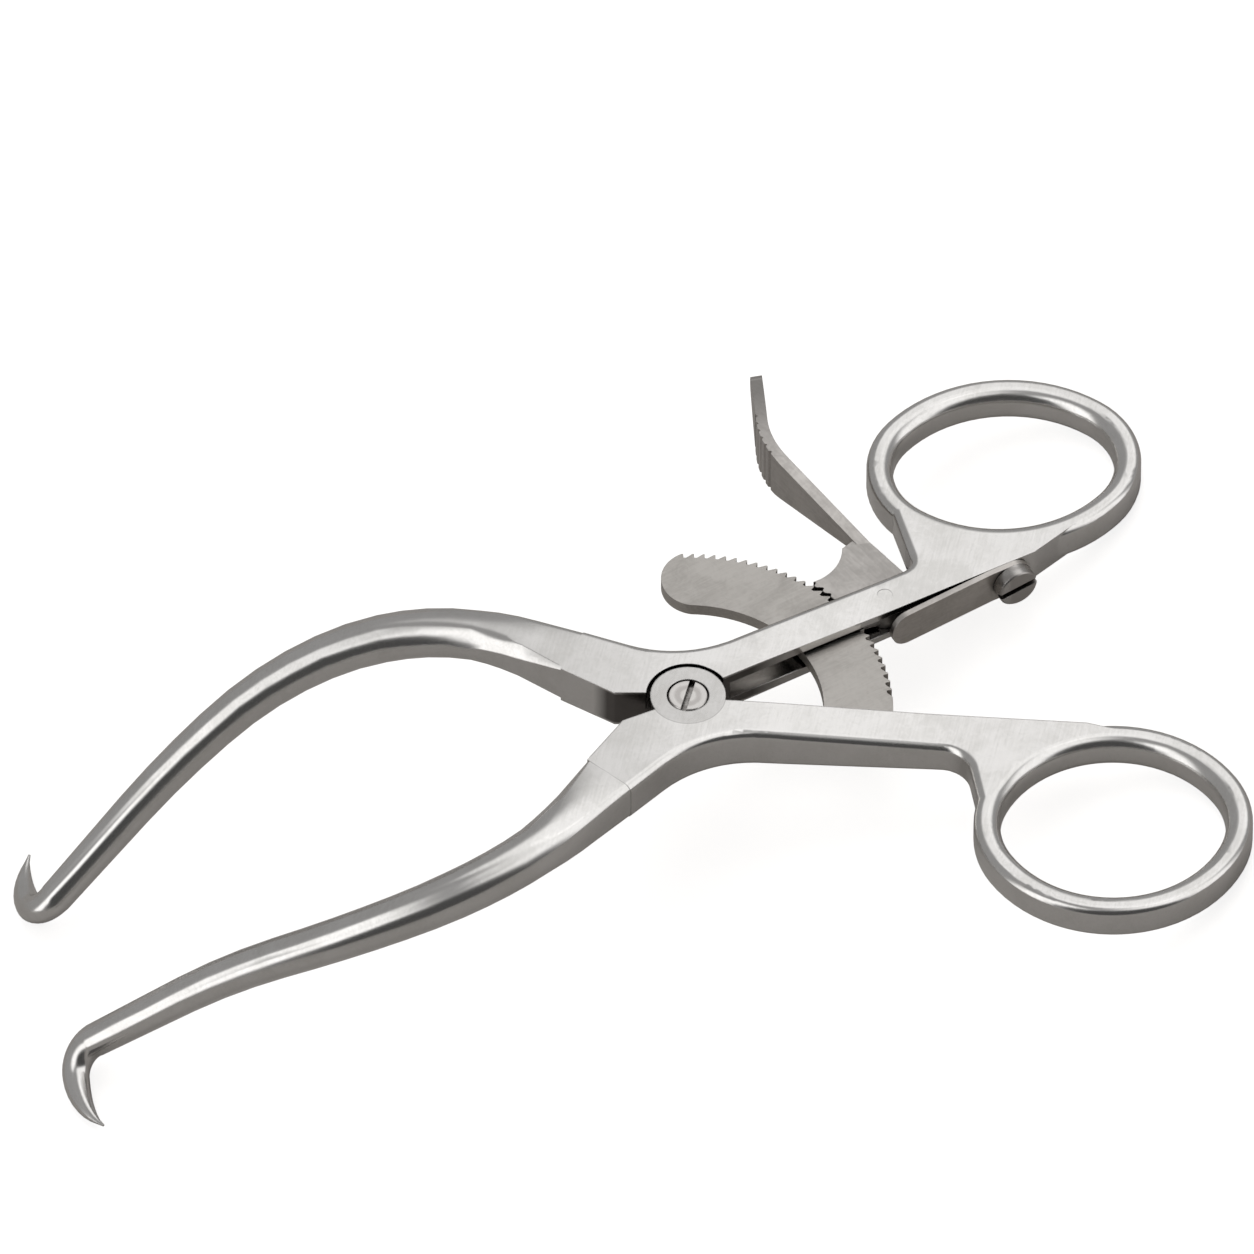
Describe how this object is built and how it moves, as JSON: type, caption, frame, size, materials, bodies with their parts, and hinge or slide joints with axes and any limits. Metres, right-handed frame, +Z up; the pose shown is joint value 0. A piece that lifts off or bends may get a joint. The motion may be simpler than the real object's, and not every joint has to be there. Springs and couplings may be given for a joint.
{
  "type": "self retaining retractor",
  "caption": "Ratcheted surgical retractor: finger-ring arms on a lap joint, bowed shanks with outward prongs, toothed bar and sprung release lever.",
  "frame": {"origin": "middle of the bounding box, on the table that the prongs and the finger rings rest on", "axes": "+X from the prongs to the finger rings, +Y to the side of the slotted arm, +Z up from the table; the pivot axis leans towards +X by 12.71 degrees"},
  "size_m": [0.1766, 0.1154, 0.029],
  "materials": {
    "forged_steel": "satin, hand polished",
    "bar_steel": "fine brushed",
    "screw_steel": "turned",
    "spring_steel": "brushed spring sheet"
  },
  "bodies": {
    "ratchet_side": {"ratchet_arm": "forged_steel", "ratchet_bar": "bar_steel"},
    "slotted_side": {"slotted_arm": "forged_steel", "pivot_screw": "screw_steel", "lever_pin": "screw_steel", "spring_screw": "screw_steel"},
    "lever": {"release_lever": "bar_steel"},
    "spring": {"leaf_spring": "spring_steel"}
  },
  "joints": [
    {"name": "arm_pivot", "type": "hinge", "parent": "ratchet_side", "child": "slotted_side", "pos_m": [0.01453, -0.00368, 0.01906], "axis": [0.2201, 0, 0.9755], "range_deg": [-27.36, 12.16]},
    {"name": "lever_pivot", "type": "hinge", "parent": "slotted_side", "child": "lever", "pos_m": [0.04604, 0.00981, 0.01195], "axis": [0.2201, 0, 0.9755], "range_deg": [-6, 3.9], "stiffness_Nm_per_rad": 0.05, "springref_deg": 6.88},
    {"name": "spring_flex", "type": "hinge", "parent": "slotted_side", "child": "spring", "pos_m": [0.06475, 0.01162, 0.00773], "axis": [0.2201, 0, 0.9755], "range_deg": [-1, 1.5]}
  ],
  "couplings": [
    {"joint": "spring_flex", "follows": "lever_pivot", "ratio": -0.2194}
  ]
}
